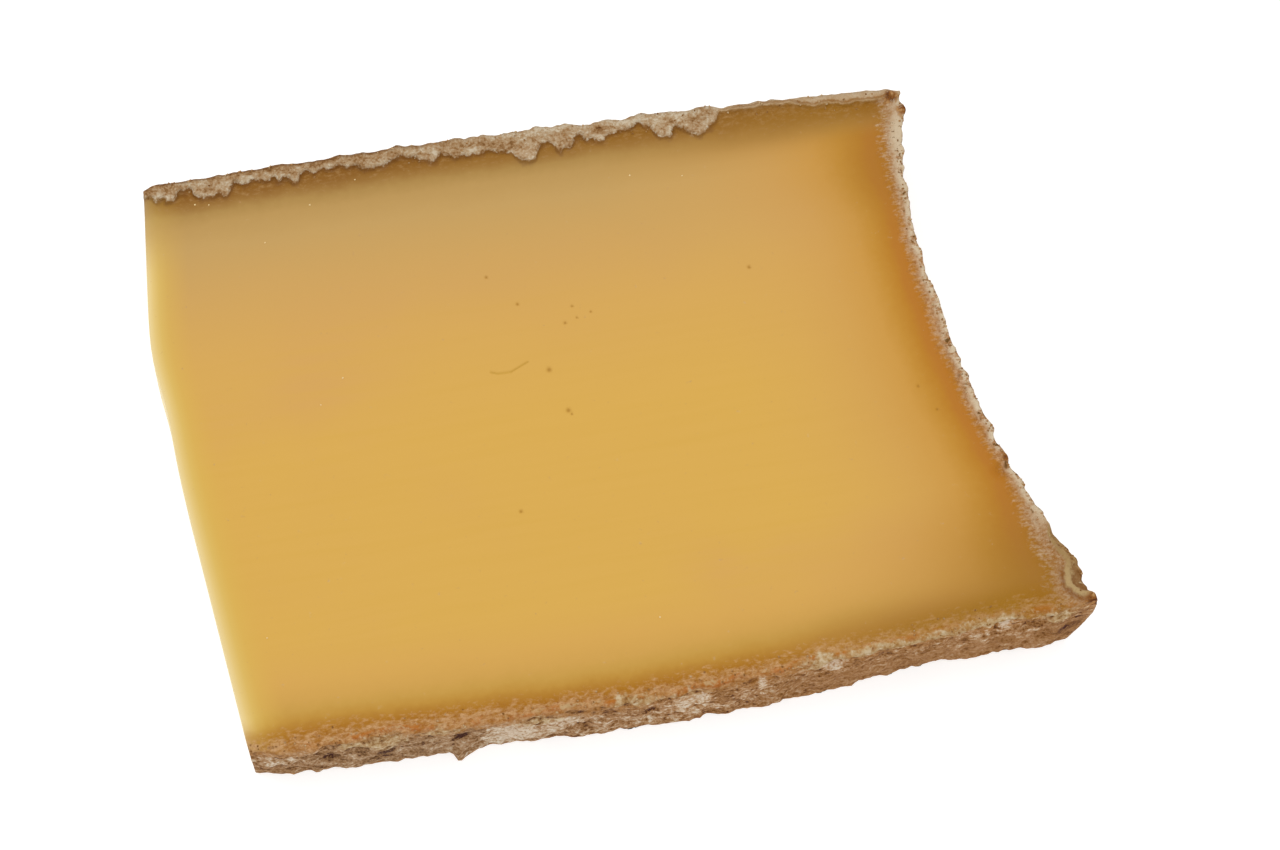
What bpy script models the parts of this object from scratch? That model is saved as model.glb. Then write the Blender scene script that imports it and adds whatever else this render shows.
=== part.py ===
"""A thick slice of a big mountain cheese, lying flat on one of its two cut faces.

The wheel that it was cut from is low, with two flat faces and a hollow side, the heel. In the slice
the X axis runs from the inner cut, which has no rind, out to the heel. The Y axis is the wheel's own
axis, from the rind of one flat face (the front) to the rind of the other (the back). Z is up.
The origin is under the middle of the slice, in the plane that it lies on.
"""

import math

import bmesh
import bpy
from mathutils import Vector, noise

MM = 0.001

# Driving dimensions: the corners of the upper cut face, those of the face that it lies on, and the
# thickness of the slice. Each face lists its front inner, front heel, back heel and back inner corner.
UPPER_CORNERS = [Vector(p) * MM for p in ((-85.0, -64.9), (94.8, -61.9), (76.6, 61.1), (-91.5, 66.9))]
LOWER_CORNERS = [Vector(p) * MM for p in ((-85.4, -64.7), (92.2, -62.9), (75.2, 60.5), (-92.6, 66.3))]
INNER_THICKNESS = 17.5 * MM
HEEL_THICKNESS = 21.5 * MM
CORNER_RADIUS = 7.0 * MM
CORNER_LOSS = 2.1 * MM

# The lumps of the rind leave the middle of the whole slice this far from the origin of the numbers here.
OFF_MIDDLE = Vector((-0.27, -0.07, 0.0)) * MM

# How far each side of the slice leaves the straight line between its corners.
FRONT_SWELL = 3.4 * MM
BACK_BOW = 1.8 * MM
HEEL_HOLLOW = 9.3 * MM
HOLLOW_AT = 0.55
CUT_KINK = 5.5 * MM
CUT_KINK_AT = 0.30
CUT_KINK_SOFTNESS = 0.12

# The rind's outer faces are lumpy: how far the large and the small lumps reach, their size, and how
# deep under the rind the cut face still follows them. The lumps are longer along the slice than high.
LUMP_REACH = 0.8 * MM
LUMP_SIZE = 9.0 * MM
CRAG_REACH = 0.8 * MM
CRAG_SIZE = 3.6 * MM
LUMP_DEPTH = 4.0 * MM
LUMP_STRETCH = 0.75

# Crust that the knife dragged over the back edge of the cut face. Each flap lists its place along X,
# half its length, and how far it reaches from the edge, in millimetres.
FLAP_RISE = 1.15 * MM
FLAP_LIP = 0.5 * MM
FLAP_ROUNDNESS = 0.7
FLAP_RAGGEDNESS = 0.3
FLAP_RAG_SIZE = 2.3 * MM
FLAP_LUMP_SIZE = 2.6 * MM
PLAIN_REACH = 1.7 * MM
FLAPS = (
    (-86.8, 3.4, 4.0),
    (-74.3, 5.0, 4.7),
    (-61.3, 5.5, 3.5),
    (-40.8, 6.0, 3.4),
    (-28.3, 3.0, 2.7),
    (-7.8, 9.0, 7.4),
    (2.2, 4.0, 6.8),
    (23.7, 5.0, 4.6),
    (32.7, 4.0, 4.2),
)

# The broken ridge of dry rind along the front edge of the cut face, and the grain of the cut heel rind.
RIDGE_RISE = 0.75 * MM
RIDGE_INSET = 1.0 * MM
RIDGE_WIDTH = 0.9 * MM
RIDGE_LUMP_SIZE = 3.0 * MM
HEEL_GRAIN_RISE = 0.3 * MM
HEEL_GRAIN_SIZE = 2.2 * MM

# Knobs and notches of the rind on the cut face: place, radius and height in millimetres. In order they
# are the two knobs at the heel's back corner, the curled tip at its front corner, and two notches.
KNOBS = (
    ((74.2, 59.7), 1.7, 1.3),
    ((75.5, 56.0), 1.5, 1.0),
    ((93.8, -61.9), 2.4, 1.3),
    ((37.1, 64.1), 1.4, -0.9),
    ((81.2, -30.1), 1.6, -1.0),
)

# The small tab of rind that hangs from the front face.
TAB_PLACE = -42.0 * MM
TAB_HALF_WIDTH = 1.7 * MM
TAB_MIDDLE = 1.0 * MM
TAB_HEIGHT = 3.2 * MM
TAB_REACH = 1.9 * MM

# The fold of rind at the front corner of the heel. Outside it the rind falls away to the heel.
FOLD_LINE = [Vector(p) * MM for p in ((85.8, -40.0), (87.4, -47.0), (88.7, -56.0), (93.6, -61.5))]
FOLD_START = -38.0 * MM
FOLD_FULL = -45.0 * MM
FOLD_RISE = 0.9 * MM
FOLD_WIDTH = 1.1 * MM
FOLD_SLOPE = 0.35
FOLD_MARGIN = 3.0 * MM

# Each kind of roughness draws from its own layer of the noise.
FRONT_LAYER, BACK_LAYER, HEEL_LAYER, RAG_LAYER, FLAP_LAYER, RIDGE_LAYER, GRAIN_LAYER = range(1, 8)
LAYER_STEP = 34.6
LAYER_CRAGS = 17.3

# Size of the mesh cells: a nominal box is cut into even cells, and then split where the rind is.
NOMINAL_SIZE = Vector((180.0, 130.0, 20.0)) * MM
FIRST_CELLS = (7, 5, 1)
EDGE_BAND = 5.0 * MM
EDGE_CELL = 2.0 * MM
FACE_CELL = 3.4 * MM
CUT_CELL = 7.0 * MM
CELL_GROWTH = 2.0

CHEESE_COLOUR = (0.69, 0.42, 0.105, 1.0)
CHEESE_ROUGHNESS = 0.42
SMOOTH_UNDER = math.radians(40.0)


def clear_scene():
    for obj in list(bpy.data.objects):
        bpy.data.objects.remove(obj, do_unlink=True)


def smooth_step(start, end, value):
    """0 before start, 1 after end, and a smooth rise between them."""
    t = min(max((value - start) / (end - start), 0.0), 1.0)
    return t * t * (3.0 - 2.0 * t)


def bump(distance, radius):
    """A rounded bump of height 1 that has died away at about twice its radius."""
    return math.exp(-((distance / radius) ** 2))


def rough(place, size, depth):
    """Smooth noise from about -1 to 1, with lumps of the given size, read at a depth of its own."""
    x, y, z = place / size
    return noise.fractal(Vector((LUMP_STRETCH * x, LUMP_STRETCH * y, z + depth)), 1.0, 2.1, 2)


def arc(t):
    return 4.0 * t * (1.0 - t)


def swell(t):
    return math.sin(math.pi * t) ** 2


def hollow(t):
    """An arc whose deepest place is at HOLLOW_AT."""
    return arc(t ** (math.log(0.5) / math.log(HOLLOW_AT)))


def kink(t):
    """Two straight stretches that meet in a soft corner at CUT_KINK_AT."""
    rising = math.exp(-t / CUT_KINK_AT / CUT_KINK_SOFTNESS)
    falling = math.exp(-(1.0 - t) / (1.0 - CUT_KINK_AT) / CUT_KINK_SOFTNESS)
    return -CUT_KINK_SOFTNESS * math.log(rising + falling)


def side(start, end, t, bow, shape):
    """The point at t on a side of the slice, which bows out of its chord by bow times shape(t)."""
    chord = end - start
    outward = Vector((chord.y, -chord.x)).normalized()
    return start.lerp(end, t) + outward * bow * shape(t)


def plan(u, v, w):
    """The place in plan of a point of the slice.

    u runs from the inner cut to the heel, v from front to back and w from the lower face to the upper.
    """
    corners = [low.lerp(high, w) for low, high in zip(LOWER_CORNERS, UPPER_CORNERS)]
    front_inner, front_heel, back_heel, back_inner = corners
    front = side(front_inner, front_heel, u, FRONT_SWELL, swell)
    back = side(back_heel, back_inner, 1.0 - u, BACK_BOW, arc)
    heel = side(front_heel, back_heel, v, -HEEL_HOLLOW, hollow)
    inner = side(back_inner, front_inner, 1.0 - v, CUT_KINK, kink)
    across = front.lerp(back, v) + inner.lerp(heel, u)
    return across - front_inner.lerp(front_heel, u).lerp(back_inner.lerp(back_heel, u), v)


def rind_lumps(place, layer):
    """How far the outer face of a rind stands out at this place."""
    depth = layer * LAYER_STEP
    lumps = LUMP_REACH * rough(place, LUMP_SIZE, depth)
    return lumps + CRAG_REACH * rough(place, CRAG_SIZE, depth + LAYER_CRAGS)


def flap_reach(x):
    """How far the crust reaches over the cut face from the back edge."""
    reach = PLAIN_REACH
    for middle, half_length, longest in FLAPS:
        t = (x / MM - middle) / half_length
        if abs(t) < 1.0:
            beyond_plain = (longest * MM - PLAIN_REACH) * (1.0 - t * t) ** FLAP_ROUNDNESS
            reach = max(reach, PLAIN_REACH + beyond_plain)
    rag = rough(Vector((x, 0.0, 0.0)), FLAP_RAG_SIZE, RAG_LAYER * LAYER_STEP)
    return reach * (1.0 + FLAP_RAGGEDNESS * rag)


def back_crust(place, from_back):
    """The flaps of crust along the back edge."""
    reach = flap_reach(place.x)
    cover = smooth_step(reach + FLAP_LIP, reach - FLAP_LIP, from_back)
    return FLAP_RISE * cover * (0.75 + 0.5 * rough(place, FLAP_LUMP_SIZE, FLAP_LAYER * LAYER_STEP))


def front_ridge(place, from_front):
    """The broken ridge along the front edge."""
    broken = 0.6 + 0.6 * rough(place, RIDGE_LUMP_SIZE, RIDGE_LAYER * LAYER_STEP)
    return RIDGE_RISE * broken * bump(from_front - RIDGE_INSET, RIDGE_WIDTH)


def heel_grain(place, from_heel):
    """The grain of the cut rind along the heel."""
    grain = rough(place, HEEL_GRAIN_SIZE, GRAIN_LAYER * LAYER_STEP)
    return HEEL_GRAIN_RISE * grain * smooth_step(EDGE_BAND, 0.0, from_heel)


def knobs(place):
    """The knobs, the curled tip and the notches."""
    rise = 0.0
    for middle, radius, height in KNOBS:
        away = (Vector(middle) * MM - place.xy).length
        rise += height * MM * bump(away, radius * MM)
    return rise


def fold(place, from_front):
    """The fold at the front corner of the heel, with the slope outside it."""
    nearest, outside = math.inf, False
    for start, end in zip(FOLD_LINE, FOLD_LINE[1:]):
        run = end - start
        t = min(max((place.xy - start).dot(run) / run.length_squared, 0.0), 1.0)
        away = place.xy - start.lerp(end, t)
        if away.length < nearest:
            nearest = away.length
            outside = run.cross(away) > 0.0
    rise = FOLD_RISE * bump(nearest, FOLD_WIDTH)
    if outside:
        rise -= FOLD_SLOPE * nearest * smooth_step(0.0, FOLD_MARGIN, from_front)
    return rise * smooth_step(FOLD_START, FOLD_FULL, place.y)


def front_tab(place):
    """How far the hanging tab stands out of the front face."""
    along = bump(place.x - TAB_PLACE, TAB_HALF_WIDTH)
    return TAB_REACH * along * bump(place.z - TAB_MIDDLE, TAB_HEIGHT)


def shaped(cell_place):
    """The place in the slice of a point of the nominal box."""
    length, width, height = NOMINAL_SIZE
    u = cell_place.x / length
    v = cell_place.y / width
    w = cell_place.z / height
    from_front = v * width
    from_back = (1.0 - v) * width
    from_heel = (1.0 - u) * length
    flat = plan(u, v, w)
    thickness = INNER_THICKNESS + (HEEL_THICKNESS - INNER_THICKNESS) * u
    place = Vector((flat.x, flat.y, w * thickness))
    relief = back_crust(place, from_back) + front_ridge(place, from_front)
    relief += heel_grain(place, from_heel) + knobs(place) + fold(place, from_front)
    near_front = smooth_step(LUMP_DEPTH, 0.0, from_front)
    near_back = smooth_step(LUMP_DEPTH, 0.0, from_back)
    near_heel = smooth_step(LUMP_DEPTH, 0.0, from_heel)
    outward = Vector((near_heel * rind_lumps(place, HEEL_LAYER), 0.0, 0.0))
    outward.y += near_back * rind_lumps(place, BACK_LAYER)
    outward.y -= near_front * (rind_lumps(place, FRONT_LAYER) + front_tab(place))
    in_corner = smooth_step(CORNER_RADIUS, 0.0, from_heel) * smooth_step(CORNER_RADIUS, 0.0, from_front)
    outward.x -= CORNER_LOSS * in_corner * (1.0 - w)
    place.z = w * (thickness + relief)
    return place + outward - OFF_MIDDLE


def wanted_cell(place):
    """The longest edge that the mesh may have at this place of the nominal box."""
    length, width, height = NOMINAL_SIZE
    to_rind = min(place.y, width - place.y, length - place.x)
    cell = EDGE_CELL if place.z > 0.9 * height else FACE_CELL
    cell += CELL_GROWTH * max(0.0, to_rind - EDGE_BAND)
    return min(cell, CUT_CELL + CELL_GROWTH * place.x)


def nominal_box():
    """A box with even cells, whose faces are then split until each edge is as short as wanted."""
    mesh = bmesh.new()
    bmesh.ops.create_cube(mesh, size=1.0)
    bmesh.ops.translate(mesh, verts=mesh.verts, vec=(0.5, 0.5, 0.5))
    bmesh.ops.scale(mesh, verts=mesh.verts, vec=NOMINAL_SIZE)
    for axis, count in enumerate(FIRST_CELLS):
        normal = Vector((0.0, 0.0, 0.0))
        normal[axis] = 1.0
        for i in range(1, count):
            parts = mesh.verts[:] + mesh.edges[:] + mesh.faces[:]
            place = normal * NOMINAL_SIZE[axis] * i / count
            bmesh.ops.bisect_plane(mesh, geom=parts, plane_co=place, plane_no=normal)
    while True:
        ends = [(edge, edge.verts[0].co, edge.verts[1].co) for edge in mesh.edges]
        long_edges = [edge for edge, a, b in ends if (a - b).length > wanted_cell((a + b) / 2.0)]
        if not long_edges:
            break
        bmesh.ops.subdivide_edges(mesh, edges=long_edges, cuts=1, use_grid_fill=True)
    return mesh


def cheese_material():
    material = bpy.data.materials.new("cheese")
    material.use_nodes = True
    shader = material.node_tree.nodes["Principled BSDF"]
    shader.inputs["Base Color"].default_value = CHEESE_COLOUR
    shader.inputs["Roughness"].default_value = CHEESE_ROUGHNESS
    shader.inputs["Metallic"].default_value = 0.0
    return material


def cheese_slice():
    """The whole slice, paste and rind, as one solid."""
    shape = nominal_box()
    for vertex in shape.verts:
        vertex.co = shaped(vertex.co)
    bmesh.ops.triangulate(shape, faces=shape.faces)
    bmesh.ops.recalc_face_normals(shape, faces=shape.faces)
    mesh = bpy.data.meshes.new("cheese_slice")
    shape.to_mesh(mesh)
    shape.free()
    mesh.materials.append(cheese_material())
    mesh.shade_smooth()
    mesh.set_sharp_from_angle(angle=SMOOTH_UNDER)
    return bpy.data.objects.new("cheese_slice", mesh)


def main():
    clear_scene()
    parts = bpy.data.collections.new("beaufort_slice")
    bpy.context.scene.collection.children.link(parts)
    parts.objects.link(cheese_slice())


main()
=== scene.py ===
"""The looks of a thick slice of a big mountain cheese, lying on one of its cut faces.

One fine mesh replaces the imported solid. It has nearly the same outline and relief, worked out here in
metres, with finer relief on top, and the colours follow the distance from each rind. Loose crumbs of
the rind and pale crystals of the paste are pieces of their own.
"""

import math
import random

import bmesh
import bpy
import numpy as np
from mathutils import Euler, Matrix, Vector, noise


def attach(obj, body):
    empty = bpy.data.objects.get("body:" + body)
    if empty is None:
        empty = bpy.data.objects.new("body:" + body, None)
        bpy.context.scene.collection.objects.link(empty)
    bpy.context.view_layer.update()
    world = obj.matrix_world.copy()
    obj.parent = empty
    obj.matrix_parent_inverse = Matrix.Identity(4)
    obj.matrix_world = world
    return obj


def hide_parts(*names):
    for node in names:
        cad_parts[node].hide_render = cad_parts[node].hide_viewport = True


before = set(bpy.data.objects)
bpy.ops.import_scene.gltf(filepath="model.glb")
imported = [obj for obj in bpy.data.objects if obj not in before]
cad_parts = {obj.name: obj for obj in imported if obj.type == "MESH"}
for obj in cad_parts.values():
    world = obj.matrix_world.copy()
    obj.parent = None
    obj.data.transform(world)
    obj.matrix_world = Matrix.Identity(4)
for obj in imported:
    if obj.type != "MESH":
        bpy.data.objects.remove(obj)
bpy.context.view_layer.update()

MM = 0.001

# The outline: corners of the upper cut face and of the lower one, each in the order front inner,
# front heel, back heel, back inner. A plain box of NOMINAL_SIZE is bent to it, and OFF_MIDDLE is how
# far the middle of the slice is from the origin of these numbers.
UPPER_CORNERS = [Vector(p) * MM for p in ((-85.0, -64.9), (94.8, -61.9), (76.6, 61.1), (-91.5, 66.9))]
LOWER_CORNERS = [Vector(p) * MM for p in ((-85.4, -64.7), (92.2, -62.9), (75.2, 60.5), (-92.6, 66.3))]
INNER_THICKNESS = 17.5 * MM
HEEL_THICKNESS = 21.5 * MM
CORNER_RADIUS = 7.0 * MM
CORNER_LOSS = 1.8 * MM
CORNER_BULGE = 1.2 * MM
OFF_MIDDLE = Vector((-0.27, -0.07, 0.0)) * MM
NOMINAL_SIZE = Vector((180.0, 130.0, 20.0)) * MM

# How far each side of the slice leaves the straight line between its corners.
FRONT_SWELL = 3.4 * MM
BACK_BOW = 1.8 * MM
HEEL_HOLLOW = 9.3 * MM
HOLLOW_AT = 0.55
CUT_KINK = 5.5 * MM
CUT_KINK_AT = 0.30
CUT_KINK_SOFTNESS = 0.12
CUT_EDGE_RADIUS = 0.9 * MM

# The lumps of the rind's outer faces.
LUMP_REACH = 0.8 * MM
LUMP_SIZE = 9.0 * MM
CRAG_REACH = 0.8 * MM
CRAG_SIZE = 3.6 * MM
LUMP_DEPTH = 4.0 * MM
LUMP_STRETCH = 0.75
GRIT_REACH = 0.35 * MM
GRIT_SIZE = 1.3 * MM
GRIT_DEPTH = 1.2 * MM
CORNER_CALM = 0.9

# The back is smoother than the other rinds, but for a stretch of this half length. Its edge is dark
# near the inner cut and pale farther on.
BACK_LUMPS = 0.4
BACK_LUMPY_AT = 2.0 * MM
BACK_LUMPY_LENGTH = 32.0 * MM
BACK_PALE_START = -45.0 * MM
BACK_PALE_FULL = -10.0 * MM

# The crust that was dragged over the back edge: middle, half length and reach of each flap in
# millimetres, and the finer raggedness of its edge.
FLAP_RISE = 1.15 * MM
FLAP_MEAN = 0.75
FLAP_LUMPINESS = 0.5
FLAP_LIP = 0.25 * MM
FLAP_ROUNDNESS = 0.7
FLAP_RAGGEDNESS = 0.3
FLAP_RAG_SIZE = 2.3 * MM
FLAP_LUMP_SIZE = 2.6 * MM
FLAP_TATTER = 0.9 * MM
FLAP_TATTER_SIZE = 1.6 * MM
SMOOTH_BACK_START = 34.0 * MM
SMOOTH_BACK_FULL = 38.0 * MM
SMOOTH_BACK_TATTER = 0.15 * MM
PLAIN_REACH = 2.2 * MM
SMOOTH_BACK_REACH = 1.0 * MM
FLAPS = (
    (-87.0, 3.4, 3.8),
    (-76.5, 5.0, 4.4),
    (-73.5, 2.2, 5.2),
    (-61.5, 5.5, 3.4),
    (-58.5, 1.8, 4.0),
    (-42.0, 5.0, 3.3),
    (-28.3, 2.6, 3.6),
    (-20.3, 5.4, 3.5),
    (-6.1, 10.0, 4.4),
    (-7.2, 3.6, 6.8),
    (0.9, 3.2, 6.2),
    (8.1, 6.0, 3.7),
    (23.9, 3.2, 5.6),
    (31.1, 5.0, 5.4),
    (66.0, 14.0, 2.2),
)

# The ridge of dry rind along the front edge, and the grain of the cut rinds.
RIDGE_RISE = 0.75 * MM
RIDGE_MEAN = 0.6
RIDGE_LUMPINESS = 0.6
RIDGE_INSET = 1.0 * MM
RIDGE_WIDTH = 0.9 * MM
RIDGE_LUMP_SIZE = 3.0 * MM
HEEL_GRAIN_RISE = 0.3 * MM
HEEL_GRAIN_SIZE = 2.2 * MM
FUZZ_RISE = 0.16 * MM
FUZZ_SIZE = 0.9 * MM
BAND_WIDTH = 5.0 * MM

# Knobs and notches of the rind: place, radius and height in millimetres.
KNOBS = (
    ((74.2, 59.7), 1.7, 1.3),
    ((75.5, 56.0), 1.5, 1.0),
    ((82.3, -27.3), 1.2, 0.4),
    ((94.2, -61.9), 2.3, 1.3),
    ((37.1, 64.1), 1.4, -0.9),
    ((81.2, -30.1), 1.6, -1.0),
)

# The small tab of rind that hangs from the front face, steeper on its left side.
TAB_PLACE = -42.3 * MM
TAB_LEFT_WIDTH = 0.7 * MM
TAB_RIGHT_WIDTH = 2.0 * MM
TAB_MIDDLE = 1.0 * MM
TAB_HEIGHT = 3.2 * MM
TAB_REACH = 1.9 * MM

# The fold of rind at the front corner of the heel. Outside it the rind falls away to the heel.
FOLD_LINE = [Vector(p) * MM for p in (
    (87.4, -41.0),
    (88.2, -46.4),
    (88.7, -49.2),
    (89.6, -50.8),
    (90.1, -52.7),
    (89.8, -54.9),
    (89.9, -57.2),
    (90.9, -58.6),
    (92.1, -59.7),
    (94.2, -60.2),
)]
FOLD_START = -40.0 * MM
FOLD_FULL = -46.0 * MM
FOLD_RISE = 0.9 * MM
FOLD_WIDTH = 0.45 * MM
FOLD_WIDENING = 1.2
FOLD_WIDE_START = -51.0 * MM
FOLD_WIDE_FULL = -56.0 * MM
FOLD_SLOPE = 0.35
FOLD_MARGIN = 3.0 * MM
FOLD_BAND_WIDENING = 1.35

# Small holes in the cut face: place and radius in millimetres. Then the hairline crack.
HOLES = (
    ((-10.1, 9.3), 0.50),
    ((-7.5, -0.6), 0.46),
    ((-6.9, -1.5), 0.24),
    ((-21.1, -21.4), 0.34),
    ((-20.2, 32.9), 0.30),
    ((-14.5, 25.5), 0.32),
    ((-5.0, 19.4), 0.30),
    ((-2.9, 23.0), 0.24),
    ((0.9, 21.0), 0.22),
    ((-2.3, 20.2), 0.20),
    ((36.5, 25.2), 0.36),
    ((67.3, -8.3), 0.26),
    ((70.3, -14.2), 0.24),
)
HOLE_DEPTH = 0.25 * MM
HOLE_MARGIN = 3.0
CRACK = [Vector(p) * MM for p in ((-22.6, 10.9), (-21.1, 10.3), (-18.4, 10.2), (-14.4, 11.9))]
CRACK_WIDTH = 0.15 * MM
CRACK_DEPTH = 0.25 * MM

# Soft blushes of the paste, the places where it is browner, and the stretches where the outer face of
# the rind is greyer: middle in plan and half length along X and Y in millimetres, and strength.
BLUSHES = (
    ((-62.0, 16.0), (18.0, 15.0), 0.55),
    ((-25.0, 34.0), (42.0, 9.0), 0.40),
    ((48.0, 37.0), (12.0, 12.0), 0.45),
    ((48.0, -42.0), (20.0, 9.0), 0.45),
    ((5.0, -12.0), (40.0, 16.0), -0.30),
)
BROWN_PLACES = (
    ((90.0, -57.0), (22.0, 17.0), 1.0),
    ((61.0, -60.5), (25.0, 5.0), 0.70),
    ((70.0, 44.0), (11.0, 14.0), 0.35),
    ((48.0, 56.5), (24.0, 4.0), 0.75),
    ((-5.0, 60.5), (28.0, 2.5), 0.40),
)
GREY_SIDES = (
    ((-55.0, -68.0), (40.0, 12.0), 0.75),
    ((0.0, 68.0), (110.0, 14.0), 0.70),
    ((92.0, 15.0), (12.0, 45.0), 0.45),
)

# Patches of the front rind: place along X and how far it is down from the upper edge, half lengths,
# and strength. Above 0 that distance runs down the outer face, below 0 inwards on the cut face.
# Granular crests are raised and cream, hollows are deep and darkened by painted shade, and blooms are
# whitish.
CRESTS = (
    ((-64.0, 2.8), (3.0, 3.0), 1.2),
    ((-56.7, 3.8), (4.4, 4.0), 1.2),
    ((-45.0, 1.0), (5.0, 2.0), 0.9),
    ((-24.6, 3.0), (5.5, 3.5), 0.9),
    ((-5.2, -0.5), (5.0, 1.6), 1.2),
    ((6.4, 1.5), (8.5, 2.5), 0.7),
    ((36.0, 0.5), (5.5, 3.5), 0.9),
    ((48.0, 0.1), (8.0, 1.5), 0.8),
    ((62.0, 0.1), (14.0, 1.3), 0.9),
    ((75.0, 0.0), (6.0, 2.2), 0.8),
    ((87.5, 3.0), (5.0, 3.4), 1.1),
)
# The hollows' darkening is painted shade; the one at -41.0 beside the tab is the tab's painted shadow.
HOLLOWS = (
    ((-76.5, 9.0), (1.6, 1.2), 0.8),
    ((-69.0, 9.5), (2.0, 1.7), 1.0),
    ((-63.5, 12.5), (5.0, 4.0), 0.4),
    ((-57.2, 10.5), (2.4, 2.8), 1.1),
    ((-41.0, 8.5), (2.4, 1.8), 1.1),
    ((-15.0, 11.5), (2.2, 2.6), 0.8),
    ((-9.3, 4.5), (2.6, 3.0), 0.7),
    ((-0.5, 8.5), (3.0, 3.0), 0.7),
    ((16.2, 8.5), (2.2, 4.5), 0.7),
    ((21.2, 1.5), (1.3, 1.6), 1.0),
    ((73.3, 2.5), (0.5, 3.0), 0.9),
    ((89.0, 13.0), (5.5, 4.5), 0.65),
)
BLOOMS = (
    ((-79.5, 5.0), (6.0, 4.5), 0.6),
    ((-31.5, 7.0), (5.5, 5.0), 0.9),
    ((-19.0, 7.0), (6.5, 4.0), 0.9),
    ((5.5, 6.0), (3.5, 6.0), 0.7),
    ((10.5, 4.5), (2.2, 3.5), 1.1),
    ((17.5, 8.0), (2.5, 3.5), 0.5),
    ((23.0, 3.5), (1.0, 5.0), 1.2),
    ((38.5, 3.5), (3.2, 2.4), 1.2),
    ((75.3, 1.5), (1.4, 2.2), 1.5),
    ((-35.5, 15.5), (4.0, 2.8), 0.7),
    ((-28.0, 13.0), (6.0, 5.0), 0.9),
    ((-2.0, 14.0), (18.0, 4.5), 0.5),
    ((14.5, 14.5), (6.0, 3.5), 0.35),
    ((72.0, 6.0), (22.0, 9.0), 0.3),
)
CREST_REACH = 0.4 * MM
HOLLOW_DEPTH = 0.9 * MM

# The same kinds of patches on the outer faces of the back and the heel, which come from noise.
PATCH_SIZE = 13.0 * MM
PATCH_MARGIN = 3.0 * MM
PATCH_EDGES = 0.0, 0.7
PATCH_BLOOM = 0.65
PATCH_HOLLOW = 0.45

# The knife left the cut face a little wavy.
WAVE_RISE = 0.12 * MM
WAVE_SIZE = 26.0 * MM

# The brown band along the front gets wider towards the heel, and the heel's own one towards its ends.
# The rinds are dry and dull from their outer faces to DRY_FULL, and their paste is moist beyond the
# other distances.
FRONT_BAND_WIDENING = 0.6
WIDENING_START = 30.0 * MM
WIDENING_FULL = 80.0 * MM
HEEL_BAND_WIDENING = 0.5
HEEL_WIDENING_START = 30.0 * MM
HEEL_WIDENING_FULL = 48.0 * MM
DRY_FULL = 1.6 * MM
DRY_FRONT = 5.6 * MM
DRY_BACK = 7.0 * MM
DRY_HEEL = 5.2 * MM

# The corners of the outline that are rounded off, and the swelling beside one of them: place in plan,
# radius and how far it moves along Y. Then the lumps and dents of the heel's upper edge and of the
# front's lower edge: place along Y or X, radius and reach. All are in millimetres. The inner cut has
# one long shallow dent.
ROUNDED_CORNERS = (
    ((76.0, 61.5), 2.0, -1.2),
    ((-91.5, 66.9), 2.0, -0.9),
    ((-85.4, -64.9), 2.6, 1.1),
    ((85.0, -64.0), 6.0, -0.9),
)
HEEL_LUMPS = (
    (56.0, 1.5, 0.9),
    (42.6, 1.0, 0.8),
    (30.0, 6.0, -0.4),
    (9.3, 3.2, 1.0),
    (-1.0, 1.2, 0.5),
    (-6.8, 1.2, 0.5),
    (-22.8, 2.0, -0.8),
    (-27.4, 1.3, 0.7),
    (-44.5, 1.3, 0.7),
    (-53.5, 5.0, 1.5),
    (-57.0, 1.5, -1.0),
    (-59.4, 0.8, -0.8),
)
FRONT_FOOT_LUMPS = (
    (-88.0, 3.0, -0.7),
    (-63.0, 11.0, 0.7),
    (-34.3, 7.5, -0.85),
    (-9.0, 8.0, -0.4),
    (15.7, 2.5, 0.7),
    (26.0, 2.0, 0.5),
    (31.2, 2.2, -0.6),
    (52.0, 7.0, -0.7),
    (63.5, 3.5, -0.55),
    (70.3, 2.5, 0.45),
    (78.5, 1.5, 0.8),
    (87.3, 1.6, 0.6),
)
CUT_DENT_AT = 15.0 * MM
CUT_DENT_LENGTH = 12.0 * MM
CUT_DENT = 0.85 * MM
CUT_DENT_MARGIN = 12.0 * MM

# Loose crumbs of rind, and pale crystals that show in the cut face.
CRUMB_SEED = 7
CRUMB_COUNT = 300
CRUMB_INWARD = 1.2 * MM
CRUMB_FARTHEST = 3.6 * MM
HEEL_CRUMBS_INWARD = 0.5
CRUMB_SIZES = 0.13 * MM, 0.36 * MM
CRYSTAL_SIZES = 0.16 * MM, 0.26 * MM
CRYSTALS = (
    (-80.4, 61.3),
    (-77.4, 60.7),
    (-66.4, 49.6),
    (-55.5, 56.8),
    (-44.9, 61.0),
    (14.8, 51.3),
    (26.1, 49.2),
    (-54.0, 15.3),
    (-59.5, 10.0),
    (4.3, -49.5),
    (-77.8, -39.7),
)

# Each kind of roughness draws from its own layer of the noise.
FRONT_LAYER, BACK_LAYER, HEEL_LAYER, RAG_LAYER, FLAP_LAYER, RIDGE_LAYER, GRAIN_LAYER = range(1, 8)
TATTER_LAYER, FUZZ_LAYER, GRIT_LAYER, WAVE_LAYER, PATCH_LAYER = range(8, 13)
LAYER_STEP = 34.6
LAYER_CRAGS = 17.3
ROUGH_FALL = 1.0
ROUGH_STEP = 2.1
ROUGH_OCTAVES = 2

# A point no farther than this from a rind's outer face is on it.
ON_RIND = 0.01 * MM

# Size of the mesh cells on the rind and the paste. A point within LEVEL_MARGIN of the lower or the
# upper face, as a share of the height, is on it. The last two are numbers of steps: between two
# points of the crack, and towards the nominal place of a point in plan.
FIRST_CELLS = (7, 5, 1)
FINE_CELL = 0.41 * MM
SIDE_CELL = 0.82 * MM
FINE_BAND = 7.0 * MM
HOLE_CELL = 0.21 * MM
PASTE_CELL = 3.4 * MM
UNDER_CELL = 7.0 * MM
CELL_GROWTH = 0.5
LEVEL_MARGIN = 0.02
CRACK_STEPS = 6
PLACE_STEPS = 12


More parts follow.
